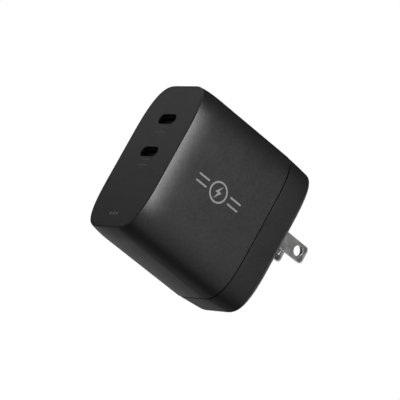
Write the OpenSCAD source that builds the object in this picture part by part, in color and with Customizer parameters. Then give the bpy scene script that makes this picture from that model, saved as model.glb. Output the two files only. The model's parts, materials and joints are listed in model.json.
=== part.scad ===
// USB wall charger: a tall rounded housing with two USB-C ports on its front face
// and a fold-out two-blade plug on its wall face.
// Millimetres. The origin lies on the wall face, midway between the two blades.
// +Y points into the wall, +Z towards the ports' end, and X is across the thickness.

/* [Housing] */
// Thickness of the housing, side to side
body_t = 33; // [33:0.5:35]
// Height of the housing, end to end
body_h = 59; // [59:0.5:61]
// Depth of the housing, from the wall face to the front face
body_d = 56; // [56:0.5:59]
// Height of the plug above the middle of the housing
plug_rise = 5.5; // [5:0.25:6]
// Wall thickness of the housing
wall = 1.6; // [1.4:0.1:1.6]
// Depth of the rear cover, from the wall face to the seam
cover_d = 12.3; // [12:0.1:12.6]
// Width of the seam groove between the sleeve and the rear cover
seam_w = 0.6; // [0.4:0.05:0.8]
// How far the housing tapers in at its front edge
front_inset = 0.7; // [0.4:0.1:0.9]
// How far the rear cover tapers in at the wall face
rear_inset = 1; // [0.8:0.1:1.2]

/* [Ports] */
// Distance between the two ports
port_pitch = 13.3; // [12.5:0.1:13.5]
// Height of the upper port above the middle of the housing
port_top = 15.15; // [14.8:0.05:15.4]
// Width of a receptacle shell
shell_w = 8.94; // [8.9:0.01:8.98]
// Height of a receptacle shell
shell_h = 3.16; // [3.14:0.01:3.2]

/* [Plug] */
// Distance between the middles of the two blades
blade_pitch = 12.7; // [12.6:0.1:12.8]
// Width of a blade
blade_w = 6.35; // [6.2:0.05:6.5]
// Thickness of a blade
blade_t = 1.52; // [1.4:0.01:1.6]
// Length of a blade beyond the wall face
blade_l = 15.9; // [15.4:0.1:16.4]
// Radius of the hole through each blade
blade_hole_r = 1.9; // [1.6:0.05:1.95]
// Distance of the blade hole from the wall face
blade_hole_y = 11.9; // [11.6:0.1:12]
// Depth of the plug's hinge axis behind the wall face
hinge_depth = 4.6; // [4.5:0.05:4.7]
// Turning radius of the rotor's corners
rotor_r = 5.4; // [5.3:0.05:5.4]
// Radial clearance of the rotor's trunnions
trunnion_gap = 0.05; // [0.02:0.01:0.09]

/* [Hidden] */

round_fn = 48;
half_t = body_t / 2;
half_h = body_h / 2;
mid_z = -plug_rise;
front_y = -body_d;
seam_y = -cover_d;

// The cross-section's corners: their reach along X and Z, and their power
corner_t = 11.5;
corner_h = 22;
corner_power = 3;
ring_points = 96;

// Front taper, and the plate that closes the front
front_taper_l = 9;
front_power = 2.4;
front_bevel = 0.25;
front_ledge = 0.8;
rim_w = 0.3;
plate_gap = 0.15;
plate_d = 1.6;
port_gap = 0.42;
post_r = 1.2;
post_x = 9.5;
post_z = [10.6, 16];

// Rear taper: its power, its rounded wall edge, and how far the outline lifts from the
// seam to the wall face; then the cover's tongue and back plate
rear_power = 1.3;
rear_bevel = 1.8;
rear_lift = 0.4;
cover_step = 0.1;
groove_depth = 0.6;
tongue_l = 2.5;
tongue_gap = 0.1;
tongue_wall = 1.3;
wall_plate_d = 2.4;
wall_plate_rim = 0.4;
wall_plate_inset = cover_step + rear_inset + rear_bevel + wall_plate_rim;
wall_plate_ledge = 0.7;

// Receptacles and their board
port_z = [mid_z + port_top, mid_z + port_top - port_pitch];
shell_wall = 0.3;
shell_front = front_y + 0.9;
shell_floor = 0.4;
shell_back = front_y + 9.5;
port_board_d = 1.2;
port_board_x = 11;
port_board_z = [-12, 17.4];
port_board_back = shell_back + port_board_d;

// Plug cradle, rotor and blades
hinge_y = -hinge_depth;
rotor_flat = 4.4;
blade_root = 3;
rotor_half = 9.6;
trunnion_r = 1.5;
trunnion_end = 11.3;
well_half_x = 9.8;
well_half_z = 5.7;
cradle_half_x = 11.6;
cradle_top = 10;
cradle_bottom = -23.3;
cradle_front = -10.4;
slot_w = 2.5;
slot_tip_z = -(blade_l + hinge_depth + 0.8);
slot_floor_y = hinge_y - blade_w / 2 - 0.7;
scoop_r = 7;
scoop_y = 3.4;
scoop_z = -16.6;
scoop_half_x = 10.2;
tail_w = 3;
tail_r = 5.25;
blade_fit = 0.02;
tip_corner_r = 1.3;
tip_bevel_l = 1.4;
tip_bevel_t = 0.4;
retainer_d = 1.6;
retainer_bottom = -10.2;
ear_half_x = 0.8;
retainer_back = cradle_front - retainer_d;
leaf_d = 0.3;
leaf_gap = 0.1;
leaf_y = hinge_y - rotor_r - leaf_gap - leaf_d;
leaf_w = 3;
leaf_tip_z = -1.4;
terminal_z = 4.6;
terminal_y = -14;
screw_spots = [[-7, 8], [7, 8], [0, -8.2]];
screw_r = 0.8;
screw_tip_y = -6.6;
screw_head_r = 1.5;
screw_head_d = 0.9;

// Main board, and the parts that stand on it
board_x = -11;
board_d = 1.6;
board_half_z = 23;
board_y0 = port_board_back + 0.2;
board_lap = 0.1;
cover_half_z = 18.5;
board_y1 = -15.3;
chip_d = 0.85;
transformer_y = front_y + 24;
transformer_z = -15;
core_top_x = 11.4;
core_gap = 0.1;
core_plate = 3;
core_half_y = 10;
core_half_z = 7;
core_leg = 2.4;
core_post_r = 4;
core_mid_x = (board_x + core_top_x) / 2;
flange_d = 0.8;
flange_r = 7.4;
winding_r = 6.9;
tape_d = 0.2;
spreader_x = 13;
spreader_d = 0.8;
bobbin_gap = 0.1;
bobbin_low = board_x + board_lap + core_plate + bobbin_gap;
bobbin_high = core_top_x - core_plate - bobbin_gap;
bobbin_in = core_post_r + bobbin_gap;
bobbin_out = core_post_r + 0.8;
can_big = [4.8, 20.4];
can_small = [3.15, 10];
can_z = [mid_z + 18.5, mid_z + 8.1];
choke_y = -31.5;
choke_x = board_x + 1;
choke_r = [2.5, 4];
choke_d = 5;
wire_r = 0.6;
wire_x = board_x + 0.7;
wire_y = terminal_y - wire_r;
wire_fn = 24;

// How far a cut runs past a surface, and by how much joined solids share space
over = 1;
lap = 0.1;

function side(v) = v < 0 ? -1 : 1;

// How far along the rear cover a depth lies: 0 up to the seam, 1 at the wall face
function rear_share(y) = max(0, 1 + y / cover_d);

// How far the surface lies inside the full cross-section at depth y
function front_taper(y) =
    front_inset * pow(1 - min(1, (y - front_y) / front_taper_l), front_power);
function wall_edge(y) =
    rear_bevel - sqrt(pow(rear_bevel, 2) - pow(max(0, y + rear_bevel), 2));
function rear_taper(y) =
    cover_step + rear_inset * pow(rear_share(y), rear_power) + wall_edge(y);

// One ring of points: a rounded rectangle with power-curve corners, d inside the full size,
// lifted by share v of what the wall face is
function ring(y, d, v) = [
    for (i = [0 : ring_points - 1])
        let (a = (i + 0.5) * 360 / ring_points,
             c = cos(a), s = sin(a), p = 2 / corner_power)
        [side(c) * (half_t - corner_t + (corner_t - d) * pow(abs(c), p)), y,
         mid_z + rear_lift * v
             + side(s) * (half_h - corner_h + (corner_h - d) * pow(abs(s), p))]];

function ring_outline(d, v) = [for (p = ring(0, d, v)) [p[0], p[2]]];

// Two triangles between each pair of neighbouring points on rings j and k
function band(j, k) = [
    for (i = [0 : ring_points - 1])
        let (n = (i + 1) % ring_points, a = j * ring_points, b = k * ring_points)
        each [[a + i, a + n, b + n], [a + i, b + n, b + i]]];

// Each entry of a profile is a depth, an inset and, if it isn't the depth's own, a share
function join_rings(profile) = [
    for (q = profile) each ring(q[0], q[1], len(q) > 2 ? q[2] : rear_share(q[0]))];

// A closed tube: the profile's rings run round from outside to inside and meet again
module loft_tube(profile) {
    n = len(profile);
    polyhedron(
        points = join_rings(profile),
        faces = [for (k = [0 : n - 1]) each band(k, (k + 1) % n)]);
}

module box(x, y, z) {
    translate([x[0], y[0], z[0]]) cube([x[1] - x[0], y[1] - y[0], z[1] - z[0]]);
}

// Cylinders along each axis, from the given start to the given end
module rod_x(x0, x1, r, y = 0, z = 0) {
    translate([x0, y, z]) rotate([0, 90, 0]) cylinder(h = x1 - x0, r = r, $fn = round_fn);
}

module rod_y(y0, y1, r, x = 0, z = 0) {
    translate([x, y1, z]) rotate([90, 0, 0]) cylinder(h = y1 - y0, r = r, $fn = round_fn);
}

module rod_z(z0, z1, r, x = 0, y = 0) {
    translate([x, y, z0]) cylinder(h = z1 - z0, r = r, $fn = round_fn);
}

module ring_x(x0, x1, r_in, r_out, y, z) {
    difference() {
        rod_x(x0, x1, r_out, y, z);
        rod_x(x0 - over, x1 + over, r_in, y, z);
    }
}

// A flat-sided oval along X, standing from y0 to y1
module oval(w, h, y0, y1) {
    translate([0, y1, 0]) rotate([90, 0, 0]) linear_extrude(y1 - y0) {
        square([w - h, h], center = true);
        for (x = [-1, 1]) translate([x * (w - h) / 2, 0]) circle(d = h, $fn = round_fn);
    }
}

// A wire through the given points, with round elbows
module wire(path, r) {
    for (k = [0 : len(path) - 2]) {
        v = path[k + 1] - path[k];
        l = norm(v);
        translate(path[k])
            rotate([0, acos(v[2] / l), atan2(v[1], v[0])])
                cylinder(h = l, r = r, $fn = wire_fn);
    }
    for (p = path) translate(p) sphere(r = r, $fn = wire_fn);
}

// ---- Housing ----

module housing_sleeve() {
    bevel_y = front_y + front_bevel;
    steps = 7;
    plate_inset = front_taper(front_y) + rim_w;
    color("#2b2b2d") loft_tube(concat(
        [[front_y, front_taper(front_y) + front_bevel]],
        [for (k = [0 : steps])
            let (y = bevel_y + (front_taper_l - front_bevel) * k / steps)
            [y, front_taper(y)]],
        [[seam_y, 0], [seam_y, wall],
         [front_y + plate_d, max(wall, plate_inset + front_ledge)],
         [front_y + plate_d, plate_inset], [front_y, plate_inset]]));
}

module front_plate() {
    color("#232325") difference() {
        union() {
            translate([0, front_y + plate_d, 0]) rotate([90, 0, 0])
                linear_extrude(plate_d)
                    polygon(ring_outline(front_taper(front_y) + rim_w + plate_gap, 0));
            for (x = [-post_x, post_x], z = [-post_z[0], post_z[1]])
                rod_y(front_y + plate_d, shell_back, post_r, x, z);
        }
        for (z = port_z) translate([0, 0, z])
            oval(shell_w + 2 * port_gap, shell_h + 2 * port_gap,
                front_y - over, front_y + plate_d + over);
    }
}

module blade_slots(y0, y1) {
    for (x = [-1, 1])
        box([x * blade_pitch / 2 - slot_w / 2, x * blade_pitch / 2 + slot_w / 2],
            [y0, y1], [slot_tip_z, -well_half_z + over]);
}

module plug_opening(y0, y1) {
    box([-well_half_x, well_half_x], [y0, y1], [-well_half_z, well_half_z]);
    blade_slots(y0, y1);
}

// A hollow beside each folded blade, deep enough for a fingernail
module finger_scoop() {
    inner_x = blade_pitch / 2 + slot_w / 2 - lap;
    rod_x(inner_x, scoop_half_x, scoop_r, scoop_y, scoop_z);
    rod_x(-scoop_half_x, -inner_x, scoop_r, scoop_y, scoop_z);
}

// The rear cover's ring of wall, with the tongue that enters the sleeve
module rear_cover() {
    edge_steps = 4;
    steps = 7;
    groove_y = seam_y + seam_w;
    tongue_out = wall + tongue_gap;
    tongue_in = tongue_out + tongue_wall;
    color("#262628") loft_tube(concat(
        [for (k = [0 : edge_steps - 1])
            let (y = -rear_bevel * (1 - cos(90 * k / edge_steps)))
            [y, rear_taper(y)]],
        [for (k = [0 : steps])
            let (y = -rear_bevel + (groove_y + rear_bevel) * k / steps)
            [y, rear_taper(y)]],
        [[groove_y, groove_depth], [seam_y, groove_depth],
         [seam_y, tongue_out], [seam_y - tongue_l, tongue_out],
         [seam_y - tongue_l, tongue_in],
         [-wall_plate_d, wall_plate_inset + wall_plate_ledge, 1],
         [-wall_plate_d, wall_plate_inset, 1], [0, wall_plate_inset, 1]]));
}

module wall_plate() {
    color("#262628") difference() {
        rotate([90, 0, 0]) linear_extrude(wall_plate_d)
            polygon(ring_outline(wall_plate_inset + plate_gap / 2, 1));
        plug_opening(-wall_plate_d - over, over);
        finger_scoop();
    }
}

// ---- Plug mechanism ----

module cradle_solid() {
    box([-cradle_half_x, cradle_half_x], [cradle_front, -wall_plate_d],
        [cradle_bottom, cradle_top]);
}

module plug_cradle() {
    bore_r = trunnion_r + trunnion_gap;
    screw_floor = screw_tip_y + 0.2;
    color("#1e1e20") difference() {
        cradle_solid();
        box([-well_half_x, well_half_x], [cradle_front - over, 0],
            [-well_half_z, well_half_z]);
        blade_slots(slot_floor_y, 0);
        finger_scoop();
        rod_x(-cradle_half_x - over, cradle_half_x + over, bore_r, hinge_y, 0);
        box([-cradle_half_x - over, cradle_half_x + over], [cradle_front - over, hinge_y],
            [-bore_r, bore_r]);
        for (s = screw_spots) rod_y(cradle_front - over, screw_floor, screw_r, s[0], s[1]);
    }
}

module plug_retainer() {
    screw_gap = 0.1;
    slot_half_w = leaf_w / 2 + leaf_gap;
    slot_half_d = leaf_d / 2 + leaf_gap;
    color("#3a3a3c") difference() {
        union() {
            box([-cradle_half_x, cradle_half_x], [retainer_back, cradle_front],
                [retainer_bottom, cradle_top]);
            for (x = [-1, 1])
                translate([x * (well_half_x + cradle_half_x) / 2, 0, 0])
                    box([-ear_half_x, ear_half_x], [cradle_front, hinge_y],
                        [-trunnion_r, trunnion_r]);
        }
        rod_x(-cradle_half_x - over, cradle_half_x + over, trunnion_r + trunnion_gap,
            hinge_y, 0);
        for (s = screw_spots)
            rod_y(retainer_back - over, cradle_front + over, screw_r + screw_gap, s[0], s[1]);
        for (x = [-1, 1]) translate([x * blade_pitch / 2, 0, terminal_z])
            box([-slot_half_w, slot_half_w], [retainer_back - over, cradle_front + over],
                [-slot_half_d, slot_half_d]);
    }
}

module retainer_screws() {
    thread_fit = 0.02;
    recess_half_l = 1;
    recess_half_w = 0.2;
    recess_d = 0.45;
    color("silver") for (s = screw_spots) {
        rod_y(retainer_back, screw_tip_y, screw_r - thread_fit, s[0], s[1]);
        difference() {
            rod_y(retainer_back - screw_head_d, retainer_back, screw_head_r, s[0], s[1]);
            for (a = [0, 90]) translate([s[0], retainer_back - screw_head_d, s[1]])
                rotate([0, a, 0])
                    box([-recess_half_l, recess_half_l], [-over, recess_d],
                        [-recess_half_w, recess_half_w]);
        }
    }
}

module detent_spring() {
    leaf_half_w = 1.5;
    leaf_half_l = 5.4;
    tab_x = 2.2;
    tab_half_w = 0.7;
    tab_z = 3.9;
    color("lightgray") {
        box([-leaf_half_w, leaf_half_w], [leaf_y, leaf_y + leaf_d],
            [-leaf_half_l, leaf_half_l]);
        for (x = [-1, 1])
            box([x * tab_x - tab_half_w, x * tab_x + tab_half_w], [leaf_y, leaf_y + leaf_d],
                [tab_z, leaf_half_l]);
    }
}

module contact_spring(x) {
    color("goldenrod") translate([x, 0, 0]) {
        box([-leaf_w / 2, leaf_w / 2], [leaf_y, leaf_y + leaf_d],
            [leaf_tip_z, terminal_z + leaf_d / 2]);
        box([-leaf_w / 2, leaf_w / 2], [terminal_y, leaf_y],
            [terminal_z - leaf_d / 2, terminal_z + leaf_d / 2]);
    }
}

module contact_spring_left() {
    contact_spring(-blade_pitch / 2);
}

module contact_spring_right() {
    contact_spring(blade_pitch / 2);
}

module rotor_profile() {
    intersection() {
        rod_x(-rotor_half, rotor_half, rotor_r, 0, 0);
        box([-rotor_half - over, rotor_half + over], [-rotor_r - over, rotor_flat],
            [-rotor_r - over, rotor_flat]);
    }
}

module blade_outline(w, tail) {
    reach = blade_l + hinge_depth;
    difference() {
        union() {
            translate([-blade_root, -w / 2]) square([reach + blade_root - tip_corner_r, w]);
            translate([0, -w / 2 + tip_corner_r]) square([reach, w - 2 * tip_corner_r]);
            for (z = [-1, 1]) translate([reach - tip_corner_r, z * (w / 2 - tip_corner_r)])
                circle(r = tip_corner_r, $fn = round_fn);
            translate([-tail_r, -tail / 2]) square([tail_r, tail]);
        }
        translate([blade_hole_y + hinge_depth, 0]) circle(r = blade_hole_r, $fn = round_fn);
    }
}

// A blade about the hinge axis: its outline along Y, cut to its bevelled tip
module blade(x) {
    reach = blade_l + hinge_depth;
    edge = blade_t / 2 + blade_fit / 2;
    color("#b9b7b2") translate([x, hinge_y, 0]) intersection() {
        translate([-blade_t / 2, 0, 0]) rotate([90, 0, 90])
            linear_extrude(blade_t) blade_outline(blade_w, tail_w);
        translate([0, 0, -blade_w]) linear_extrude(2 * blade_w) polygon([
            [-edge, -tail_r - over], [edge, -tail_r - over],
            [edge, reach - tip_bevel_l], [edge - tip_bevel_t, reach + blade_fit],
            [tip_bevel_t - edge, reach + blade_fit], [-edge, reach - tip_bevel_l]]);
    }
}

module plug_rotor() {
    slot = blade_t / 2 + blade_fit;
    color("#1a1a1c") translate([0, hinge_y, 0]) difference() {
        union() {
            rotor_profile();
            rod_x(-trunnion_end, trunnion_end, trunnion_r, 0, 0);
        }
        for (x = [-1, 1]) translate([x * blade_pitch / 2, 0, 0]) {
            box([-slot, slot], [-blade_root - blade_fit, rotor_r],
                [-blade_w / 2 - blade_fit, blade_w / 2 + blade_fit]);
            box([-slot, slot], [-rotor_r - over, 0],
                [-tail_w / 2 - blade_fit, tail_w / 2 + blade_fit]);
        }
    }
}

module blade_left() {
    blade(-blade_pitch / 2);
}

module blade_right() {
    blade(blade_pitch / 2);
}

// ---- Ports ----

module port_board() {
    color("darkgreen") box([board_x + board_lap, port_board_x],
        [shell_back, port_board_back], port_board_z);
}

module port_shell(z) {
    color("#55565a") translate([0, 0, z]) difference() {
        oval(shell_w, shell_h, shell_front, shell_back);
        oval(shell_w - 2 * shell_wall, shell_h - 2 * shell_wall,
            shell_front - over, shell_back - shell_floor);
    }
}

module port_tongue(z) {
    half_x = 3.345;
    half_z = 0.35;
    tip_depth = 0.8;
    root_d = 2.2;
    root_back = shell_back - shell_floor;
    color("#141416") translate([0, 0, z]) {
        box([-half_x, half_x], [shell_front + tip_depth, root_back], [-half_z, half_z]);
        oval(shell_w - 2 * shell_wall, shell_h - 2 * shell_wall,
            root_back - root_d, root_back);
    }
}

module port_contacts(z) {
    count = 12;
    pitch = 0.5;
    pad = [0.26, 3.2, 0.06];
    pad_depth = 1.3;
    tongue_half_z = 0.35;
    color("gold") translate([0, shell_front + pad_depth, z])
        for (i = [0 : count - 1], face = [tongue_half_z, -tongue_half_z - pad[2]])
            translate([(i - (count - 1) / 2) * pitch - pad[0] / 2, 0, face]) cube(pad);
}

module port_shell_upper() {
    port_shell(port_z[0]);
}

module port_shell_lower() {
    port_shell(port_z[1]);
}

module port_tongue_upper() {
    port_tongue(port_z[0]);
}

module port_tongue_lower() {
    port_tongue(port_z[1]);
}

module port_contacts_upper() {
    port_contacts(port_z[0]);
}

module port_contacts_lower() {
    port_contacts(port_z[1]);
}

// A moulded power inductor, notched at each side for its terminal
module buck_inductor(z) {
    half = 3.2;
    height = 3;
    notch = [0.3, 1.2, 1.4];
    color("#4a4a4a") translate([3, port_board_back, z]) difference() {
        box([-half, half], [0, height], [-half, half]);
        for (x = [-half, half])
            box([x - notch[0], x + notch[0]], [-lap, notch[1]], [-notch[2], notch[2]]);
    }
}

module buck_inductor_upper() {
    buck_inductor(port_z[0]);
}

module buck_inductor_lower() {
    buck_inductor(port_z[1]);
}

module protocol_chip(z) {
    half = 2;
    color("#222222") translate([-6, port_board_back, z])
        box([-half, half], [0, chip_d], [-half, half]);
}

module protocol_chip_upper() {
    protocol_chip(port_z[0]);
}

module protocol_chip_lower() {
    protocol_chip(port_z[1]);
}

// ---- Main board and its parts ----

module main_board() {
    color("darkgreen") box([board_x - board_d, board_x], [board_y0, board_y1],
        [mid_z - board_half_z, mid_z + board_half_z]);
}

module insulator_sheet() {
    sheet_d = 0.25;
    sheet_x = board_x - board_d - chip_d - 0.15;
    color("#d9d4c0") box([sheet_x - sheet_d, sheet_x], [board_y0 + 1, board_y1 - 1],
        [mid_z - cover_half_z, mid_z + cover_half_z]);
}

module heat_spreader() {
    color("lightgray") box([spreader_x, spreader_x + spreader_d],
        [board_y0 + 1, board_y1 - 1], [mid_z - cover_half_z, mid_z + cover_half_z]);
}

module thermal_pad() {
    color("lightblue") translate([0, transformer_y, transformer_z])
        box([core_top_x, spreader_x], [-core_half_y, core_half_y], [-core_half_z, core_half_z]);
}

// Half of the ferrite core: a plate, a round centre post and two side legs
module core_half(plate_x, plate_end, leg_x, leg_end) {
    color("#3d3d3f") translate([0, transformer_y, transformer_z]) {
        box([plate_x, plate_end], [-core_half_y, core_half_y], [-core_half_z, core_half_z]);
        rod_x(leg_x, leg_end, core_post_r);
        for (s = [-1, 1]) translate([0, s * (core_half_y - core_leg / 2), 0])
            box([leg_x, leg_end], [-core_leg / 2, core_leg / 2], [-core_half_z, core_half_z]);
    }
}

module transformer_core_lower() {
    start = board_x + board_lap;
    core_half(start, start + core_plate, start + core_plate - lap,
        core_mid_x - core_gap / 2);
}

module transformer_core_upper() {
    core_half(core_top_x - core_plate, core_top_x, core_mid_x + core_gap / 2,
        core_top_x - core_plate + lap);
}

module transformer_bobbin() {
    foot = [6, 1.2];
    foot_z = 8.3;
    color("#20201f") {
        ring_x(bobbin_low, bobbin_high, bobbin_in, bobbin_out, transformer_y, transformer_z);
        ring_x(bobbin_low, bobbin_low + flange_d, bobbin_in, flange_r,
            transformer_y, transformer_z);
        ring_x(bobbin_high - flange_d, bobbin_high, bobbin_in, flange_r,
            transformer_y, transformer_z);
        for (s = [-1, 1]) translate([0, transformer_y, transformer_z + s * foot_z])
            box([board_x, bobbin_low + flange_d], [-foot[0], foot[0]], [-foot[1], foot[1]]);
    }
}

module transformer_winding() {
    winding_fit = 0.05;
    color("#c47a35")
        ring_x(bobbin_low + flange_d, bobbin_high - flange_d, bobbin_out + winding_fit,
            winding_r, transformer_y, transformer_z);
}

module transformer_tape() {
    color("gold")
        ring_x(bobbin_low + flange_d, bobbin_high - flange_d, winding_r,
            winding_r + tape_d, transformer_y, transformer_z);
}

// An electrolytic can standing on the board: a crimped side and a scored top
module capacitor_can(y, z, size, tint) {
    r = size[0];
    h = size[1];
    chamfer = 0.3;
    crimp = 0.35;
    crimp_z = [1.6, 2, 2.4, 2.8];
    top_edge = 0.4;
    score = [0.3, 0.2];
    color(tint) translate([board_x, y, z]) rotate([0, 90, 0]) difference() {
        rotate_extrude($fn = round_fn) polygon([
            [0, 0], [r - chamfer, 0], [r, chamfer], [r, crimp_z[0]],
            [r - crimp, crimp_z[1]], [r - crimp, crimp_z[2]], [r, crimp_z[3]],
            [r, h - top_edge], [r - top_edge, h], [0, h]]);
        for (a = [0, 90]) rotate([0, 0, a]) translate([-r / 2, -score[0] / 2, h - score[1]])
            cube([r, score[0], over]);
    }
}

module bulk_capacitor_1() {
    capacitor_can(-21, can_z[0], can_big, "#2c2f38");
}

module bulk_capacitor_2() {
    capacitor_can(-31.5, can_z[0], can_big, "#2c2f38");
}

module bulk_capacitor_3() {
    capacitor_can(-21, can_z[1], can_big, "#2c2f38");
}

module output_capacitor_1() {
    capacitor_can(front_y + 16.1, can_z[0], can_small, "lightgray");
}

module output_capacitor_2() {
    capacitor_can(front_y + 16.1, can_z[0] - 8, can_small, "lightgray");
}

module choke_base() {
    half = 4.5;
    color("#20201f") translate([0, choke_y, can_z[1]])
        box([board_x, choke_x], [-half, half], [-half, half]);
}

module choke_core() {
    color("#3d3d3f")
        ring_x(choke_x + 1, choke_x + 1 + choke_d, choke_r[0], choke_r[1], choke_y, can_z[1]);
}

// Half of the choke's winding: a copper jacket round one side of the ring
module choke_winding(s) {
    wire_d = 0.9;
    fit = 0.05;
    gap = 0.6;
    reach = 6;
    end = choke_x + 2 + choke_d;
    color("#c47a35") difference() {
        ring_x(choke_x, end, choke_r[0] - wire_d, choke_r[1] + wire_d - lap,
            choke_y, can_z[1]);
        ring_x(choke_x + 1 - fit, end - 1 + fit, choke_r[0] - fit, choke_r[1] + fit,
            choke_y, can_z[1]);
        translate([0, choke_y, can_z[1]])
            box([choke_x - over, end + over], [-reach, reach],
                s > 0 ? [-reach, gap] : [-gap, reach]);
    }
}

module choke_winding_left() {
    choke_winding(-1);
}

module choke_winding_right() {
    choke_winding(1);
}

module line_inductor() {
    r = 1.8;
    waist_r = 1.5;
    x = board_x + 1.9;
    z = mid_z - 21;
    y = [-38, -37, -31, -30];
    color("#26402c") {
        rod_y(y[0], y[1], r, x, z);
        rod_y(y[1], y[2], waist_r, x, z);
        rod_y(y[2], y[3], r, x, z);
    }
}

module x_capacitor() {
    color("#c9a21b") translate([board_x, -21.2, -27]) cube([11, 5.2, 13]);
}

module y_capacitor() {
    r = 3.5;
    d = 2.6;
    z = mid_z - 22.4;
    color("#2f5fa8") rod_z(z, z + d, r, board_x + r + lap, -25.5);
}

module fuse() {
    r = 1.7;
    cap_r = 1.3;
    h = 8;
    cap_h = 0.6;
    y = -18.6;
    z = -11;
    color("#d8c9a6") {
        rod_x(board_x, board_x + h, r, y, z);
        rod_x(board_x + h, board_x + h + cap_h, cap_r, y, z);
    }
}

module thermistor() {
    r = 2.4;
    d = 2;
    z = -6.6;
    color("#3b5a3b") rod_z(z, z + d, r, board_x + r + lap, -18.6);
}

module optocoupler() {
    color("#f0f0ea") translate([board_x, board_y0 + 0.4, -21]) cube([2.2, 2.6, 6.5]);
}

module board_chip(y, z) {
    color("#222222") box([board_x - board_d - chip_d, board_x - board_d], y, z);
}

module bridge_rectifier() {
    board_chip([-23, -18], [-12, -6]);
}

module switch_chip() {
    board_chip([-34, -28], [-18, -12]);
}

module controller_chip() {
    board_chip([-34, -30], [-4, 1]);
}

module rectifier_chip() {
    board_chip([-42, -37], [-18, -12]);
}

// ---- Wires from the contact springs to the board ----

module wire_live() {
    pad_z = -8;
    drop = 2.2;
    x = blade_pitch / 2;
    color("#8b1a1a") wire([[x, wire_y, terminal_z], [x, wire_y, pad_z],
        [wire_x, wire_y, pad_z], [wire_x, wire_y - drop, pad_z]], wire_r);
}

module wire_neutral() {
    pad_z = -3;
    drop = 1.6;
    color("#dddddd") wire([[-blade_pitch / 2, wire_y, terminal_z],
        [wire_x, wire_y, terminal_z], [wire_x, wire_y, pad_z],
        [wire_x, wire_y - drop, pad_z]], wire_r);
}

housing_sleeve();
front_plate();
rear_cover();
wall_plate();
plug_cradle();
plug_retainer();
retainer_screws();
detent_spring();
contact_spring_left();
contact_spring_right();
plug_rotor();
blade_left();
blade_right();
port_board();
port_shell_upper();
port_shell_lower();
port_tongue_upper();
port_tongue_lower();
port_contacts_upper();
port_contacts_lower();
buck_inductor_upper();
buck_inductor_lower();
protocol_chip_upper();
protocol_chip_lower();
main_board();
insulator_sheet();
heat_spreader();
thermal_pad();
transformer_core_lower();
transformer_core_upper();
transformer_bobbin();
transformer_winding();
transformer_tape();
bulk_capacitor_1();
bulk_capacitor_2();
bulk_capacitor_3();
output_capacitor_1();
output_capacitor_2();
choke_base();
choke_core();
choke_winding_left();
choke_winding_right();
line_inductor();
x_capacitor();
y_capacitor();
fuse();
thermistor();
optocoupler();
bridge_rectifier();
switch_chip();
controller_chip();
rectifier_chip();
wire_live();
wire_neutral();
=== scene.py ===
"""Looks for a USB wall charger: smooth shells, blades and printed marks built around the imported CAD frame."""

import json
import math

import bmesh
import bpy
from mathutils import Matrix, Vector


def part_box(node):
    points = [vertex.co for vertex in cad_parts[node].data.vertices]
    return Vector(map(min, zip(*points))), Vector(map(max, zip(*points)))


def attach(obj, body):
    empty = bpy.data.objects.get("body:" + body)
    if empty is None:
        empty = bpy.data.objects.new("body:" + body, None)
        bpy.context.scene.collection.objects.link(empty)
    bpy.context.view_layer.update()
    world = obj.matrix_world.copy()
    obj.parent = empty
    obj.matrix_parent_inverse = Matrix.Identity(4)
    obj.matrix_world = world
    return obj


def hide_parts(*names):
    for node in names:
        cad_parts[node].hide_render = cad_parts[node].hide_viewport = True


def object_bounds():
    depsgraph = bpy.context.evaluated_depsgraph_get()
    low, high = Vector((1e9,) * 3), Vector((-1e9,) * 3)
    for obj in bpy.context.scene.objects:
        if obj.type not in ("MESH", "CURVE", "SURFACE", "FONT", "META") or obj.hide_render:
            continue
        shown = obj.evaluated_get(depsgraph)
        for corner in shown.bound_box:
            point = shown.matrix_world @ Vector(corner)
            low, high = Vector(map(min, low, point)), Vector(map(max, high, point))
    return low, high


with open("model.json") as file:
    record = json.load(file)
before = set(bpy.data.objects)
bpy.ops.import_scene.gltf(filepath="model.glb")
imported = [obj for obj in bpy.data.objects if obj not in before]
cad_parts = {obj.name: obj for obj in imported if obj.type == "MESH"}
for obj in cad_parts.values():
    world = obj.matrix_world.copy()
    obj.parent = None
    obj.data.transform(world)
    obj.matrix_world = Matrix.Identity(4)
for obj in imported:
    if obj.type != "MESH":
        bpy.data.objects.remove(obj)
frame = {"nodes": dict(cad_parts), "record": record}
cad_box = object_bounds()

MM = 0.001  # every length below is in millimetres, and turned into metres where a mesh is made

# ---------------------------------------------------------------- shape of the housing

sleeve_low, sleeve_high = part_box("housing_sleeve")
cover_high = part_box("rear_cover")[1]
blade_low, blade_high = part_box("blade_right")
shell_low, shell_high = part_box("port_shell_upper")
lower_low, lower_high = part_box("port_shell_lower")

HALF_T = round(sleeve_high.x / MM, 1)
HALF_H = round((sleeve_high.z - sleeve_low.z) / 2 / MM, 1)
MID_Z = round((sleeve_high.z + sleeve_low.z) / 2 / MM, 1)
FRONT_Y = sleeve_low.y / MM
SEAM_Y = sleeve_high.y / MM
WALL_Y = cover_high.y / MM
PORT_Z = [(low.z + high.z) / 2 / MM for low, high in ((shell_low, shell_high), (lower_low, lower_high))]

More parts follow.
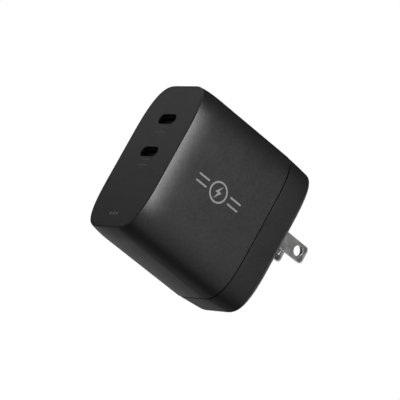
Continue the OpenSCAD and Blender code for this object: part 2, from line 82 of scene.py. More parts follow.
CORNER_T = 11.5        # reach of a corner across the thickness
CORNER_H = 22.0        # reach of a corner along the height
CORNER_POWER = 3.0
WALL = 1.6
FRONT_INSET = 0.7
FRONT_TAPER = 9.0
FRONT_POWER = 2.4
REAR_INSET = 1.0
REAR_POWER = 1.3
REAR_EDGE = 1.8        # rounding of the wall edge
REAR_LIFT = 0.4        # how far the cover's outline lifts towards the wall face
RIM = 0.3              # width of the sleeve's rim round the front plate
PLATE_GAP = 0.15
PLATE_D = 1.6
PLATE_LEDGE = 0.8      # least width of the ledge behind the front plate
PORT_GAP = 0.42        # clearance round a receptacle in the front plate
SEAM_W = 0.6
SEAM_DEPTH = 0.6
COVER_STEP = 0.1
TONGUE_GAP = 0.1
TONGUE_WALL = 1.3
TONGUE_L = 2.5
COVER_RIM = 0.4         # width of the cover's rim round the wall plate
WALL_PLATE_INSET = COVER_STEP + REAR_INSET + REAR_EDGE + COVER_RIM
WALL_PLATE_D = 2.4
WALL_PLATE_LEDGE = 0.7

CORNER_STEPS = 48
FLAT_STEPS = 8


def even_quarter(steps):
    """(cos, sin) powers along one corner, from its side to its end, evenly spaced by length."""
    power, fine = 2 / CORNER_POWER, 2000
    dense = []
    for k in range(fine + 1):
        a = math.pi / 2 * k / fine
        dense.append((abs(math.cos(a)) ** power if k < fine else 0.0, math.sin(a) ** power))
    lengths = [0.0]
    for (c0, s0), (c1, s1) in zip(dense, dense[1:]):
        lengths.append(lengths[-1] + math.hypot((c1 - c0) * CORNER_T, (s1 - s0) * CORNER_H))
    points, k = [], 0
    for i in range(steps + 1):
        while k < fine and lengths[k] < lengths[-1] * i / steps - 1e-12:
            k += 1
        points.append(dense[k])
    return points


def unit_outline():
    """The outline's points, as shares (core x, corner x, core z, corner z) of its flats and corners."""
    quarter = even_quarter(CORNER_STEPS)
    points = []
    for qx, qz in ((1, 1), (-1, 1), (-1, -1), (1, -1)):
        along_x = qx * qz > 0
        arc = quarter if along_x else quarter[::-1]
        points += [(qx, qx * c, qz, qz * s) for c, s in arc]
        for k in range(1, FLAT_STEPS):
            f = 1 - 2 * k / FLAT_STEPS
            points.append((f * qx, 0, qz, qz) if along_x else (qx, qx, f * qz, 0))
    return points


OUTLINE = unit_outline()


def rear_share(y):
    """How far along the rear cover a depth lies: 0 up to the seam, 1 at the wall face."""
    return max(0, (y - SEAM_Y) / (WALL_Y - SEAM_Y))


def outline_at(inset, share=0.0):
    """(x, z) points of the housing's cross-section, inset all round, with its share of the rear's lift."""
    core_t, core_h = HALF_T - CORNER_T, HALF_H - CORNER_H
    middle = MID_Z + REAR_LIFT * share
    return [
        (ax * core_t + bx * (CORNER_T - inset), middle + az * core_h + bz * (CORNER_H - inset))
        for ax, bx, az, bz in OUTLINE
    ]


def front_taper(y):
    return FRONT_INSET * (1 - min(1, (y - FRONT_Y) / FRONT_TAPER)) ** FRONT_POWER


def rear_taper(y):
    return COVER_STEP + REAR_INSET * rear_share(y) ** REAR_POWER


def rounded(corners, steps=5):
    """A closed path of (y, inset, radius) corners as (y, inset) points, each corner turned into an arc."""
    path = []
    for k, (y, d, r) in enumerate(corners):
        if r == 0:
            path.append((y, d))
            continue
        here = Vector((y, d))
        before = (Vector(corners[k - 1][:2]) - here).normalized()
        after = (Vector(corners[(k + 1) % len(corners)][:2]) - here).normalized()
        half = before.angle(after) / 2
        start, end = here + before * r / math.tan(half), here + after * r / math.tan(half)
        middle = here + (before + after).normalized() * r / math.sin(half)
        a, b = start - middle, end - middle
        turn = a.angle_signed(b)
        for i in range(steps + 1):
            spoke = Matrix.Rotation(-turn * i / steps, 2) @ a
            path.append(tuple(middle + spoke))
    return path


# ---------------------------------------------------------------- mesh makers

def band(bm, ring_a, ring_b):
    for i in range(len(ring_a)):
        j = (i + 1) % len(ring_a)
        bm.faces.new((ring_a[i], ring_a[j], ring_b[j], ring_b[i]))


def loft(profile):
    """A closed tube round the housing's outline: profile is a closed path of (y, inset).
    What lies inside the back plate's rim keeps the wall face's outline."""
    bm = bmesh.new()
    rings = []
    for y, inset in profile:
        share = 1 if y > WALL_Y - WALL_PLATE_D - 0.01 and inset > WALL_PLATE_INSET - 0.01 else rear_share(y)
        rings.append([bm.verts.new(Vector((x, y, z)) * MM) for x, z in outline_at(inset, share)])
    for ring_a, ring_b in zip(rings, rings[1:] + rings[:1]):
        band(bm, ring_a, ring_b)
    return bm


def plate(loops, t0, t1, edge, place, steps=4):
    """A flat plate from t0 to t1 with rounded edges.
    Each loop is a function of an offset into the material that gives (a, b) points."""
    bend = [(1 - math.cos(math.pi / 2 * k / steps), 1 - math.sin(math.pi / 2 * k / steps))
            for k in range(steps + 1)]
    profile = [(t0 + edge * t, edge * d) for t, d in bend]
    profile += [(t1 - edge * t, edge * d) for t, d in reversed(bend)]
    bm = bmesh.new()
    first, last = [], []
    for loop in loops:
        rings = [[bm.verts.new(place(a, b, t) * MM) for a, b in loop(d)] for t, d in profile]
        for ring_a, ring_b in zip(rings, rings[1:]):
            band(bm, ring_a, ring_b)
        for ring, edges in ((rings[0], first), (rings[-1], last)):
            edges += [bm.edges.get((ring[i - 1], ring[i])) for i in range(len(ring))]
    for edges in (first, last):
        bmesh.ops.triangle_fill(bm, use_beauty=True, edges=edges)
    return bm


def oval_loop(width, height, z=0.0, steps=16):
    """A flat-sided oval hole centred at (0, z), as a loop function."""
    def loop(offset):
        r, flat = height / 2 + offset, (width - height) / 2
        points = []
        for side in (1, -1):
            for k in range(steps + 1):
                a = -math.pi / 2 + math.pi * k / steps
                points.append((side * (flat + r * math.cos(a)), z + side * r * math.sin(a)))
        return points
    return loop


def circle_points(a, b, r, steps=64):
    return [(a + r * math.cos(2 * math.pi * k / steps), b + r * math.sin(2 * math.pi * k / steps))
            for k in range(steps)]


def finish_mesh(name, bm, body, material, replaced=(), smooth=True):
    bmesh.ops.remove_doubles(bm, verts=bm.verts, dist=1e-7)
    bmesh.ops.recalc_face_normals(bm, faces=bm.faces)
    mesh = bpy.data.meshes.new(name)
    bm.to_mesh(mesh)
    bm.free()
    mesh.polygons.foreach_set("use_smooth", [smooth] * len(mesh.polygons))
    mesh.materials.append(material)
    piece = bpy.data.objects.new(name, mesh)
    bpy.context.scene.collection.objects.link(piece)
    if smooth:
        normals = piece.modifiers.new("normals", "WEIGHTED_NORMAL")
        normals.keep_sharp = True
    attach(piece, body)
    if replaced:
        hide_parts(*replaced)


# ---------------------------------------------------------------- materials

class Shader:
    """A Principled material with short calls for the nodes these finishes share."""

    def __init__(self, name, **sockets):
        self.material = bpy.data.materials.new(name)
        self.material.use_nodes = True
        self.tree = self.material.node_tree
        self.principled = self.tree.nodes["Principled BSDF"]
        for socket, value in sockets.items():
            self.principled.inputs[socket.replace("_", " ")].default_value = value
        self.place = self.tree.nodes.new("ShaderNodeTexCoord").outputs["Object"]

    def node(self, kind, links=(), **settings):
        made = self.tree.nodes.new(kind)
        for key, value in settings.items():
            setattr(made, key, value)
        for socket, value in links:
            if isinstance(value, bpy.types.NodeSocket):
                self.tree.links.new(value, made.inputs[socket])
            else:
                made.inputs[socket].default_value = value
        return made

    def stretch(self, x, y, z):
        """The object's coordinates, scaled along each axis."""
        return self.node("ShaderNodeMapping", [("Vector", self.place), ("Scale", (x, y, z))]).outputs[0]

    def noise(self, size_mm, detail=2.0, roughness=0.5, at=None):
        """Noise whose features are about size_mm across."""
        return self.node("ShaderNodeTexNoise", [
            ("Vector", at or self.place), ("Scale", 1 / (size_mm * MM)),
            ("Detail", detail), ("Roughness", roughness)]).outputs["Fac"]

    def remap(self, value, low, high, start=0.3, end=0.7):
        return self.node("ShaderNodeMapRange", [
            ("Value", value), ("From Min", start), ("From Max", end),
            ("To Min", low), ("To Max", high)]).outputs[0]

    def blend(self, factor, colour_a, colour_b):
        mix = self.node("ShaderNodeMix", data_type="RGBA")
        self.tree.links.new(factor, mix.inputs["Factor"])
        for socket, value in ((6, colour_a), (7, colour_b)):
            if isinstance(value, bpy.types.NodeSocket):
                self.tree.links.new(value, mix.inputs[socket])
            else:
                mix.inputs[socket].default_value = (*value, 1)
        return mix.outputs[2]

    def feed(self, socket, value):
        self.tree.links.new(value, self.principled.inputs[socket])

    def bump(self, *layers):
        """Stacks (height, depth in micrometres) layers of bump."""
        normal = None
        for height, depth in layers:
            links = [("Height", height), ("Distance", depth * 1e-6), ("Strength", 1.0)]
            if normal:
                links.append(("Normal", normal))
            normal = self.node("ShaderNodeBump", links).outputs[0]
        self.feed("Normal", normal)


def shade(colour, factor):
    return tuple(min(1, c * factor) for c in colour)


def moulded(name, colour, roughness, grain_mm=0.14, grain_um=2.0, specular=0.5):
    """Spark-eroded moulded plastic: a fine even grain, faint clouding and a little handling polish."""
    s = Shader(name)
    cloud, speckle = s.noise(14, detail=3), s.noise(grain_mm * 6, detail=3, roughness=0.7)
    clouded = s.blend(s.remap(cloud, 0, 1), shade(colour, 0.93), shade(colour, 1.07))
    s.feed("Base Color", s.blend(speckle, clouded, shade(colour, 1.25)))
    s.feed("Specular IOR Level", s.remap(speckle, specular * 0.85, specular * 1.15))
    fine = s.noise(grain_mm * 3, detail=2)
    rub = s.noise(9, detail=4, roughness=0.6)
    rough = s.node("ShaderNodeMath", [(0, s.remap(rub, roughness - 0.02, roughness + 0.02)),
                                      (1, s.remap(fine, -0.04, 0.04))], operation="ADD").outputs[0]
    s.feed("Roughness", rough)
    s.bump((s.noise(grain_mm, detail=3, roughness=0.6), grain_um), (s.noise(grain_mm * 6), grain_um * 2.5))
    return s.material


def plated(name, colour, roughness, along=(1, 0.02, 1), scratch_um=0.25):
    """Plated sheet metal with fine draw lines along one axis."""
    s = Shader(name, Metallic=1.0)
    lines = s.noise(0.06, detail=3, at=s.stretch(*along))
    cloud = s.noise(3.0, detail=3)
    s.feed("Base Color", s.blend(s.remap(cloud, 0, 1), shade(colour, 0.95), shade(colour, 1.04)))
    s.feed("Roughness", s.node("ShaderNodeMath", [
        (0, s.remap(lines, roughness - 0.04, roughness + 0.05)),
        (1, s.remap(cloud, -0.02, 0.02))], operation="ADD").outputs[0])
    s.bump((lines, scratch_um), (s.noise(1.5, detail=2), scratch_um * 2))
    return s.material


def coated(name, colour, roughness, clear=0.0, mottle_mm=1.5, metallic=0.0, bump_um=4.0, specular=0.5):
    """Lacquer, film, rubber or powder: mottled colour and a soft uneven surface."""
    s = Shader(name, Metallic=metallic, Coat_Weight=clear, Specular_IOR_Level=specular)
    mottle = s.noise(mottle_mm, detail=4)
    s.feed("Base Color", s.blend(s.remap(mottle, 0, 1), shade(colour, 0.85), shade(colour, 1.12)))
    s.feed("Roughness", s.remap(s.noise(mottle_mm * 2), roughness - 0.06, roughness + 0.06))
    s.bump((s.noise(mottle_mm / 4, detail=2), bump_um))
    return s.material


def wound(name, colour, roughness, wire_mm, across="X"):
    """Turns of enamelled wire: rounded ridges side by side, with painted shade in the grooves between them."""
    s = Shader(name, Metallic=0.9)
    ridges = s.node("ShaderNodeTexWave", [
        ("Vector", s.place), ("Scale", math.pi / (20 * wire_mm * MM)), ("Distortion", 0.4),
        ("Detail", 1.0)], wave_type="BANDS", bands_direction=across).outputs["Fac"]
    # painted shade: the wire's colour darkens to 0.45 of itself in the grooves between turns, where the bump
    # sinks
    s.feed("Base Color", s.blend(ridges, shade(colour, 0.45), shade(colour, 1.05)))
    s.feed("Roughness", s.remap(s.noise(1.0), roughness - 0.05, roughness + 0.08))
    s.bump((ridges, wire_mm * 250))
    return s.material


def board(name, colour, trace):
    """Solder mask over copper traces, which lie as a finer, paler pattern under the green."""
    s = Shader(name, Roughness=0.35, Coat_Weight=0.3)
    cells = s.node("ShaderNodeTexVoronoi", [
        ("Vector", s.place), ("Scale", 1 / (2.2 * MM)), ("Randomness", 0.6)],
        feature="DISTANCE_TO_EDGE", distance="EUCLIDEAN").outputs["Distance"]
    track = s.remap(cells, 1, 0, start=0.10, end=0.14)
    s.feed("Base Color", s.blend(track, colour, trace))
    s.bump((track, 18.0), (s.noise(0.3), 3.0))
    return s.material


BLACK = (0.013, 0.013, 0.0135)
FACE_BLACK = (0.012, 0.012, 0.0125)
COVER_BLACK = (0.011, 0.011, 0.0115)
NICKEL = (0.46, 0.458, 0.455)

MATERIALS = {
    "housing_plastic": moulded("housing_plastic", BLACK, 0.36),
    "face_plastic": moulded("face_plastic", FACE_BLACK, 0.48, grain_um=2.5),
    "cover_plastic": moulded("cover_plastic", COVER_BLACK, 0.42, grain_um=2.5, specular=0.41),
    "cradle_plastic": moulded("cradle_plastic", COVER_BLACK, 0.5, grain_um=3.0),
    "rotor_plastic": moulded("rotor_plastic", COVER_BLACK, 0.45),
    "nickel_plate": plated("nickel_plate", NICKEL, 0.3),
    "zinc_steel": plated("zinc_steel", (0.55, 0.55, 0.54), 0.35),
    "spring_steel": plated("spring_steel", (0.5, 0.5, 0.5), 0.3, along=(1, 1, 0.02)),
    "contact_bronze": plated("contact_bronze", (0.62, 0.38, 0.2), 0.35, along=(1, 1, 0.02)),
    # the receptacle shells are near-black and nearly matte rather than bare steel, which keeps the port
    # openings black right up to the plastic's edge and leaves no highlight on the shells' lips
    "shell_steel": coated("shell_steel", (0.008, 0.008, 0.0085), 0.5, specular=0.15),
    "gold_contacts": plated("gold_contacts", (0.8, 0.58, 0.24), 0.25),
    "spreader_aluminium": plated("spreader_aluminium", (0.72, 0.72, 0.73), 0.4, along=(1, 1, 0.02)),
    "tongue_plastic": moulded("tongue_plastic", (0.008, 0.008, 0.008), 0.6, specular=0.1),
    "bobbin_plastic": moulded("bobbin_plastic", (0.012, 0.012, 0.012), 0.45),
    "chip_epoxy": moulded("chip_epoxy", (0.015, 0.015, 0.016), 0.55, grain_mm=0.08),
    "white_case": moulded("white_case", (0.75, 0.75, 0.72), 0.5),
    "circuit_board": board("circuit_board", (0.01, 0.09, 0.035), (0.02, 0.17, 0.06)),
    "insulator_film": coated("insulator_film", (0.6, 0.55, 0.42), 0.6),
    "thermal_silicone": coated("thermal_silicone", (0.36, 0.5, 0.6), 0.7, mottle_mm=0.6),
    "ferrite": coated("ferrite", (0.04, 0.04, 0.043), 0.55, mottle_mm=0.4, metallic=0.3, bump_um=8.0),
    "pressed_powder": coated("pressed_powder", (0.08, 0.08, 0.082), 0.6, mottle_mm=0.3, metallic=0.4,
                             bump_um=8.0),
    "amber_tape": coated("amber_tape", (0.6, 0.34, 0.05), 0.3, clear=0.6, mottle_mm=3.0),
    "inductor_sleeve": coated("inductor_sleeve", (0.015, 0.05, 0.02), 0.4),
    "capacitor_sleeve": coated("capacitor_sleeve", (0.02, 0.024, 0.04), 0.3, clear=0.4, mottle_mm=4.0),
    "yellow_case": coated("yellow_case", (0.65, 0.42, 0.04), 0.35, clear=0.3),
    "blue_disc": coated("blue_disc", (0.02, 0.12, 0.4), 0.3, clear=0.6),
    "green_disc": coated("green_disc", (0.03, 0.14, 0.05), 0.35, clear=0.5),
    "fuse_body": coated("fuse_body", (0.62, 0.5, 0.34), 0.4, clear=0.3),
    "capacitor_can": coated("capacitor_can", (0.75, 0.75, 0.75), 0.3, metallic=1.0, bump_um=1.0),
    "red_insulation": coated("red_insulation", (0.3, 0.01, 0.01), 0.4),
    "white_insulation": coated("white_insulation", (0.7, 0.7, 0.68), 0.4),
    "copper_wire": wound("copper_wire", (0.7, 0.3, 0.1), 0.3, 0.35),
}
ink = coated("printed_ink", (0.255, 0.255, 0.26), 0.5, mottle_mm=0.5, bump_um=1.0)
faint_ink = coated("faint_ink", (0.18, 0.18, 0.183), 0.5, mottle_mm=0.5, bump_um=1.0)
port_ink = coated("port_ink", (0.11, 0.11, 0.112), 0.5, mottle_mm=0.5, bump_um=1.0)

# ---------------------------------------------------------------- the CAD parts that stay

BEVEL = {"wall_plate": 0.15, "plug_cradle": 0.15, "plug_rotor": 0.2, "port_shell_upper": 0.07,
         "port_shell_lower": 0.07, "port_tongue_upper": 0.08, "port_tongue_lower": 0.08}
BEVEL_STEPS = 3
BEVEL_ANGLE = 35        # edges flatter than this stay as they are
slot_of = {s["node"]: s["material_slot"] for s in frame["record"]["subparts"]}
for name, part in frame["nodes"].items():
    part.data.materials.clear()
    part.data.materials.append(MATERIALS[slot_of[name]])
    if name in BEVEL:
        bevel = part.modifiers.new("edges", "BEVEL")
        bevel.width = BEVEL[name] * MM
        bevel.segments = BEVEL_STEPS
        bevel.limit_method = "ANGLE"
        bevel.angle_limit = math.radians(BEVEL_ANGLE)
        bevel.harden_normals = True

# ---------------------------------------------------------------- housing

TAPER_STEPS = 16
EDGE_STEPS = 6
FRONT_EDGE = 0.14      # rounding of the sleeve's front edge
FINE_EDGE = 0.06       # rounding of the seam's and the rims' edges
PLATE_EDGE = 0.08      # rounding of the front plate and its openings
plate_inset = front_taper(FRONT_Y) + RIM
ledge_inset = max(WALL, plate_inset + PLATE_LEDGE)
taper_ys = [FRONT_Y + FRONT_TAPER * k / TAPER_STEPS for k in range(1, TAPER_STEPS + 1)]
sleeve_path = rounded(
    [(FRONT_Y, front_taper(FRONT_Y), FRONT_EDGE)]
    + [(y, front_taper(y), 0) for y in taper_ys]
    + [(SEAM_Y, 0, FINE_EDGE), (SEAM_Y, WALL, 0), (FRONT_Y + PLATE_D, ledge_inset, 0),
       (FRONT_Y + PLATE_D, plate_inset, 0), (FRONT_Y, plate_inset, FINE_EDGE)])
finish_mesh("sleeve", loft(sleeve_path), "housing", MATERIALS["housing_plastic"],
            ["housing_sleeve"])

groove_y = SEAM_Y + SEAM_W
tongue_out = WALL + TONGUE_GAP
tongue_in = tongue_out + TONGUE_WALL
edge_y = WALL_Y - REAR_EDGE


def wall_edge(turn):
    """A point of the cover's rounded edge, from the wall face at no turn to the side at a right angle."""
    y = edge_y + REAR_EDGE * math.cos(turn)
    return y, rear_taper(y) + REAR_EDGE * (1 - math.sin(turn)), 0


cover_ys = [edge_y + (groove_y - edge_y) * k / TAPER_STEPS for k in range(TAPER_STEPS)]
cover_path = rounded(
    [wall_edge(math.pi / 2 * k / EDGE_STEPS) for k in range(EDGE_STEPS)]
    + [(y, rear_taper(y), 0) for y in cover_ys]
    + [(groove_y, COVER_STEP, FINE_EDGE), (groove_y, SEAM_DEPTH, 0), (SEAM_Y, SEAM_DEPTH, 0),
       (SEAM_Y, tongue_out, 0), (SEAM_Y - TONGUE_L, tongue_out, 0), (SEAM_Y - TONGUE_L, tongue_in, 0),
       (WALL_Y - WALL_PLATE_D, WALL_PLATE_INSET + WALL_PLATE_LEDGE, 0),
       (WALL_Y - WALL_PLATE_D, WALL_PLATE_INSET, 0), (WALL_Y, WALL_PLATE_INSET, FINE_EDGE)])
finish_mesh("cover", loft(cover_path), "housing", MATERIALS["cover_plastic"], ["rear_cover"])

port_w = (shell_high.x - shell_low.x) / MM + 2 * PORT_GAP
port_h = (shell_high.z - shell_low.z) / MM + 2 * PORT_GAP
face_loops = [lambda offset: outline_at(plate_inset + PLATE_GAP + offset)]
face_loops += [oval_loop(port_w, port_h, z) for z in PORT_Z]
face_mesh = plate(face_loops, FRONT_Y, FRONT_Y + PLATE_D, PLATE_EDGE, lambda a, b, t: Vector((a, t, b)))
finish_mesh("face", face_mesh, "housing", MATERIALS["face_plastic"], ["front_plate"])

# ---------------------------------------------------------------- blades

BLADE_W = (blade_high.z - blade_low.z) / MM
BLADE_T = (blade_high.x - blade_low.x) / MM
BLADE_X = (blade_high.x + blade_low.x) / 2 / MM
BLADE_TIP = blade_high.y / MM
BLADE_ROOT = -7.5       # where the blade ends inside the rotor
BLADE_EDGE = 0.12
TIP_CORNER = 1.3
TIP_BEVEL_L = 1.4       # the tip thins over this length, by TIP_BEVEL_T on each face
TIP_BEVEL_T = 0.4
blade_hole = next(m for m in frame["record"]["mounts"] if m["name"] == "blade_holes")
HOLE_Y = blade_hole["pos_m"][1] / MM
HOLE_R = blade_hole["dims"]["r_mm"]
HOLE_STEPS = 48


def blade_loop(offset):
    """The blade's outline: square at the root, round corners at the tip."""
    half, r, steps = BLADE_W / 2 - offset, TIP_CORNER - offset, 10
    points = [(BLADE_ROOT + offset, half), (BLADE_ROOT + offset, -half)]
    for side, start in ((-1, -math.pi / 2), (1, 0)):
        for k in range(steps + 1):
            a = start + math.pi / 2 * k / steps
            points.append((BLADE_TIP - TIP_CORNER + r * math.cos(a),
                           side * (BLADE_W / 2 - TIP_CORNER) + r * math.sin(a)))
    return points


def make_blade(name, x, node):
    loops = [blade_loop, lambda offset: circle_points(HOLE_Y, 0, HOLE_R + offset, HOLE_STEPS)]
    bm = plate(loops, -BLADE_T / 2, BLADE_T / 2, BLADE_EDGE, lambda a, b, t: Vector((t, a, b)))
    bevel_y = (BLADE_TIP - TIP_BEVEL_L) * MM
    bmesh.ops.bisect_plane(bm, geom=bm.verts[:] + bm.edges[:] + bm.faces[:], plane_co=(0, bevel_y, 0),
                           plane_no=(0, 1, 0))
    for v in bm.verts:
        share = max(0, v.co.y - bevel_y) / (TIP_BEVEL_L * MM)
        v.co.x = v.co.x * (1 - share * TIP_BEVEL_T / (BLADE_T / 2)) + x * MM
    finish_mesh(name, bm, "plug", MATERIALS["nickel_plate"], [node])


make_blade("plug_blade_right", BLADE_X, "blade_right")
make_blade("plug_blade_left", -BLADE_X, "blade_left")

# ---------------------------------------------------------------- printed marks

INK = 0.02       # how far a print stands off its surface


def bolt_points(size):
    """A plain lightning bolt, size tall."""
    half = [(0.16, 0.5), (-0.26, -0.06), (-0.02, -0.06)]
    return [(a * size, b * size) for a, b in half] + [(-a * size, -b * size) for a, b in half]


def side_surface(y, z):
    """The housing's outer x at this depth and height."""
    over = max(0, abs(z - MID_Z) - (HALF_H - CORNER_H)) / CORNER_H
    return HALF_T - CORNER_T * (1 - (1 - over ** CORNER_POWER) ** (1 / CORNER_POWER))


def print_shape(name, outer, inner, surface, material):
    """A thin layer of ink: the outer loop less the inner ones, standing on a surface."""
    bm = bmesh.new()
    loops = [[bm.verts.new((a, b, 0)) for a, b in points] for points in [outer] + inner]
    edges = [bm.edges.new((loop[i - 1], loop[i])) for loop in loops for i in range(len(loop))]
    made = bmesh.ops.triangle_fill(bm, use_beauty=True, edges=edges)
    flat = [g for g in made["geom"] if isinstance(g, bmesh.types.BMFace)]
    raised = bmesh.ops.extrude_face_region(bm, geom=flat)["geom"]
    tops = {g for g in raised if isinstance(g, bmesh.types.BMVert)}
    for v in bm.verts:
        v.co = surface(v.co.x, v.co.y, INK if v in tops else -INK) * MM
    finish_mesh(name, bm, "housing", material, smooth=False)


MARK_Y, MARK_Z = -34.0, MID_Z + 0.2     # middle of the charging mark on the wide side
MARK_R = 3.9            # the ring round the bolt
MARK_LINE = 0.65
MARK_BOLT = 5.4
MARK_GAP = 1.6          # between the ring and the bars
MARK_HALF_L = 10.0
MARK_ROW = 1.3          # how far each row of bars lies from the middle
PORT_BOLT = 2.0
PORT_BOLT_DROP = 5.3    # from a port's middle down to its bolt
PORT_DASH = (1.1, 2.5)
PORT_DASH_W = 0.35
PORT_LINE_X = 0.6       # middle of the fine line between a port and its bolt
PORT_LINE_DROP = 3.2
PORT_LINE_HALF_L = 1.8
PORT_LINE_W = 0.22
DOTS_X, DOTS_Z = -0.5, MID_Z - 23.2     # middle of the three dots at the foot of the front face
DOT_PITCH = 1.8
DOT_R = 0.6
DOT_STEPS = 24


def on_side(a, b, lift):
    y, z = MARK_Y + a, MARK_Z + b
    return Vector((side_surface(y, z) + lift, y, z))


def bar_points(a0, a1, b, thick, steps=8):
    """A round-ended bar from a0 to a1 along the surface, centred at height b."""
    points = []
    for end, turn in ((a1, -math.pi / 2), (a0, math.pi / 2)):
        for k in range(steps + 1):
            a = turn + math.pi * k / steps
            points.append((end + thick / 2 * math.cos(a), b + thick / 2 * math.sin(a)))
    return points


print_shape("side_mark_ring", circle_points(0, 0, MARK_R), [circle_points(0, 0, MARK_R - MARK_LINE)],
            on_side, ink)
print_shape("side_mark_bolt", bolt_points(MARK_BOLT), [], on_side, ink)
for row, b in (("upper", MARK_ROW), ("lower", -MARK_ROW)):
    for side, sign in (("front", -1), ("rear", 1)):
        a0, a1 = sorted((sign * (MARK_R + MARK_GAP), sign * MARK_HALF_L))
        print_shape(f"side_mark_{row}_{side}", bar_points(a0, a1, b, MARK_LINE), [], on_side, ink)


def on_front(x0, z0):
    return lambda a, b, lift: Vector((x0 + a, FRONT_Y - lift, z0 + b))


for name, z in zip(("upper", "lower"), PORT_Z):
    below = on_front(0, z - PORT_BOLT_DROP)
    print_shape(f"port_mark_{name}", bolt_points(PORT_BOLT), [], below, port_ink)
    for side, sign in (("left", -1), ("right", 1)):
        a0, a1 = sorted(sign * end for end in PORT_DASH)
        print_shape(f"port_dash_{name}_{side}", bar_points(a0, a1, 0, PORT_DASH_W), [], below, port_ink)
    print_shape(f"port_line_{name}", bar_points(-PORT_LINE_HALF_L, PORT_LINE_HALF_L, 0, PORT_LINE_W), [],
                on_front(PORT_LINE_X, z - PORT_LINE_DROP), port_ink)
for k in (-1, 0, 1):
    print_shape(f"front_dot_{k + 2}", circle_points(0, 0, DOT_R, DOT_STEPS), [],
                on_front(DOTS_X + DOT_PITCH * k, DOTS_Z), faint_ink)

# ---------------------------------------------------------------- stage, light and camera

world = bpy.data.worlds.new("studio")
bpy.context.scene.world = world
world.use_nodes = True
wt = world.node_tree
wt.nodes.clear()
direction = wt.nodes.new("ShaderNodeTexCoord").outputs["Generated"]


def world_math(operation, *values):
    n = wt.nodes.new("ShaderNodeMath")
    n.operation = operation
    for k, value in enumerate(values):
        if isinstance(value, bpy.types.NodeSocket):
            wt.links.new(value, n.inputs[k])
        else:
            n.inputs[k].default_value = value
    return n.outputs[0]


def toward(azimuth, elevation):
    """A unit vector: azimuth 0 is +X and 90 is +Y."""
    a, e = math.radians(azimuth), math.radians(elevation)
    return Vector((math.cos(a) * math.cos(e), math.sin(a) * math.cos(e), math.sin(e)))


def glow(azimuth, elevation, inner, outer, strength):
    """A soft round patch of the studio: full inside the inner angle, nothing past the outer one."""
    dot = wt.nodes.new("ShaderNodeVectorMath")
    dot.operation = "DOT_PRODUCT"
    wt.links.new(direction, dot.inputs[0])
    dot.inputs[1].default_value = toward(azimuth, elevation)
    ramp = wt.nodes.new("ShaderNodeMapRange")
    ramp.interpolation_type = "SMOOTHSTEP"
    wt.links.new(dot.outputs["Value"], ramp.inputs["Value"])
    ramp.inputs["From Min"].default_value = math.cos(math.radians(outer))
    ramp.inputs["From Max"].default_value = math.cos(math.radians(inner))
    ramp.inputs["To Min"].default_value = 0
    ramp.inputs["To Max"].default_value = strength
    return ramp.outputs[0]


AMBIENT = 0.004
GLOWS = [                      # azimuth, elevation, inner and outer angle, strength
    (20, -20, 0, 40, 0.4),     # paper below, in front of the wide side
    (130, -55, 0, 28, 0.14),   # paper below, behind
    (-45, -18, 0, 45, 0.4),    # room in front of the wide side and the ports
    (228, -15, 0, 45, 0.2),    # room beyond the far wide side
]
level = AMBIENT
for g in GLOWS:
    level = world_math("ADD", level, glow(*g))
lit = wt.nodes.new("ShaderNodeBackground")
lit.inputs["Color"].default_value = (1, 1, 1, 1)
wt.links.new(level, lit.inputs["Strength"])
white = wt.nodes.new("ShaderNodeBackground")
white.inputs["Color"].default_value = (1, 1, 1, 1)
white.inputs["Strength"].default_value = 1.0
seen = wt.nodes.new("ShaderNodeMixShader")
wt.links.new(wt.nodes.new("ShaderNodeLightPath").outputs["Is Camera Ray"], seen.inputs[0])
wt.links.new(lit.outputs[0], seen.inputs[1])
wt.links.new(white.outputs[0], seen.inputs[2])
wt.links.new(seen.outputs[0], wt.nodes.new("ShaderNodeOutputWorld").inputs[0])

centre = (cad_box[0] + cad_box[1]) / 2


def panel(name, place, target, width, height, power, mirrored_only=False):
    """A rectangular light that faces the target; one that is mirrored only leaves the paper round it dark."""
    light = bpy.data.lights.new(name, "AREA")
    light.shape = "RECTANGLE"
    light.size, light.size_y = width, height
    light.energy = power
    lamp = bpy.data.objects.new(name, light)
    lamp.location = place
    lamp.rotation_euler = (target - place).to_track_quat("-Z", "Y").to_euler()
    lamp.visible_camera = False
    lamp.visible_diffuse = not mirrored_only
    bpy.context.scene.collection.objects.link(lamp)


SOFTBOX_DISTANCE = 0.9
SOFTBOXES = {                  # azimuth, elevation, width, height, power
    "key": (2, 16.5, 0.25, 0.6, 7.35),
    "top_left": (230, 50, 0.6, 0.6, 3.5),
    "rear": (86, 8, 0.6, 0.6, 1.8),
}
CARDS = {                      # place, target, width, height, power
    "front_card": ((-0.13, -0.13, 0.075), (0, -0.056, 0), 0.12, 0.12, 0.016),
    "under_card": ((-0.060, 0.010, -0.085), (0, -0.03, -0.035), 0.16, 0.04, 0.0038),
    "blade_card": ((-0.045, 0.032, -0.008), (0, 0.032, -0.008), 0.05, 0.034, 0.0096),
    "side_card": ((-0.020, -0.025, -0.039), (0, -0.025, -0.039), 0.09, 0.006, 0.0009),
}
for name, (azimuth, elevation, *light) in SOFTBOXES.items():
    panel(name, centre + toward(azimuth, elevation) * SOFTBOX_DISTANCE, centre, *light)
for name, (place, target, *light) in CARDS.items():
    panel(name, Vector(place), Vector(target), *light, mirrored_only=True)

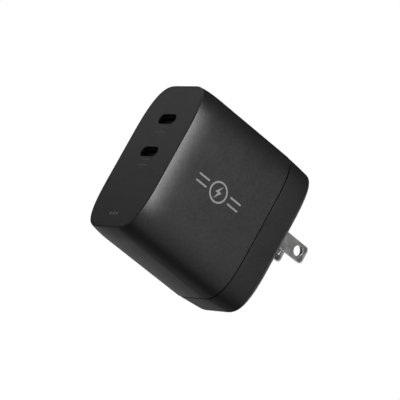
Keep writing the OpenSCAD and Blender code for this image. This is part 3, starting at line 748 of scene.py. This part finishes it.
FLOOR_HALF = 1.5
FLOOR_GAP = 0.0002             # keeps the floor clear of the object's lowest point
FLOOR_GLOW = (0.22, 0.9)       # the floor's own light, by the object and at its edge
FLOOR_GLOW_FROM = 0.2          # how far from the middle that light starts to rise
floor_mesh = bmesh.new()
bmesh.ops.create_grid(floor_mesh, x_segments=2, y_segments=2, size=FLOOR_HALF)
floor_data = bpy.data.meshes.new("floor")
floor_mesh.to_mesh(floor_data)
floor_mesh.free()
floor = bpy.data.objects.new("floor", floor_data)
floor.location.z = cad_box[0].z - FLOOR_GAP
bpy.context.scene.collection.objects.link(floor)
floor_shader = Shader(
    "floor_paper", Roughness=0.9, Specular_IOR_Level=0.0, Base_Color=(0.86, 0.86, 0.86, 1),
    Emission_Color=(1, 1, 1, 1))
far = floor_shader.node("ShaderNodeVectorMath", [(0, floor_shader.place)], operation="LENGTH")
floor_shader.feed("Emission Strength", floor_shader.remap(
    far.outputs["Value"], *FLOOR_GLOW, start=FLOOR_GLOW_FROM, end=FLOOR_HALF))
tree = floor_shader.tree
clear = tree.nodes.new("ShaderNodeBsdfTransparent")
one_way = tree.nodes.new("ShaderNodeMixShader")
tree.links.new(tree.nodes.new("ShaderNodeNewGeometry").outputs["Backfacing"], one_way.inputs[0])
tree.links.new(floor_shader.principled.outputs[0], one_way.inputs[1])
tree.links.new(clear.outputs[0], one_way.inputs[2])
tree.links.new(one_way.outputs[0], tree.nodes["Material Output"].inputs[0])
floor_data.materials.append(floor_shader.material)
floor.visible_shadow = False
floor.visible_diffuse = False
floor.visible_glossy = False

CAMERA_AZIMUTH = 58.65      # round the object, from facing its front towards its +X side
CAMERA_ELEVATION = -17.15
CAMERA_ROLL = 28.87         # how far the camera turns, so that the object leans to the right
CAMERA_DISTANCE = 1.1557
CAMERA_LENS = 302.0
LOOK_AT = Vector((-0.0005, -0.0286, -0.0055))

a, e = math.radians(CAMERA_AZIMUTH), math.radians(CAMERA_ELEVATION)
back = Vector((math.sin(a) * math.cos(e), -math.cos(a) * math.cos(e), math.sin(e)))
right = Vector((math.cos(a), math.sin(a), 0))
turned = Matrix.Rotation(math.radians(CAMERA_ROLL), 3, back)
right = turned @ right
up = back.cross(right)
camera_data = bpy.data.cameras.new("camera")
camera_data.lens = CAMERA_LENS
camera_data.clip_start, camera_data.clip_end = 0.05, 10
camera = bpy.data.objects.new("camera", camera_data)
turn = Matrix((right, up, back)).transposed().to_4x4()
camera.matrix_world = Matrix.Translation(LOOK_AT + back * CAMERA_DISTANCE) @ turn
bpy.context.scene.collection.objects.link(camera)
bpy.context.scene.camera = camera
bpy.context.scene.view_settings.view_transform = "Standard"
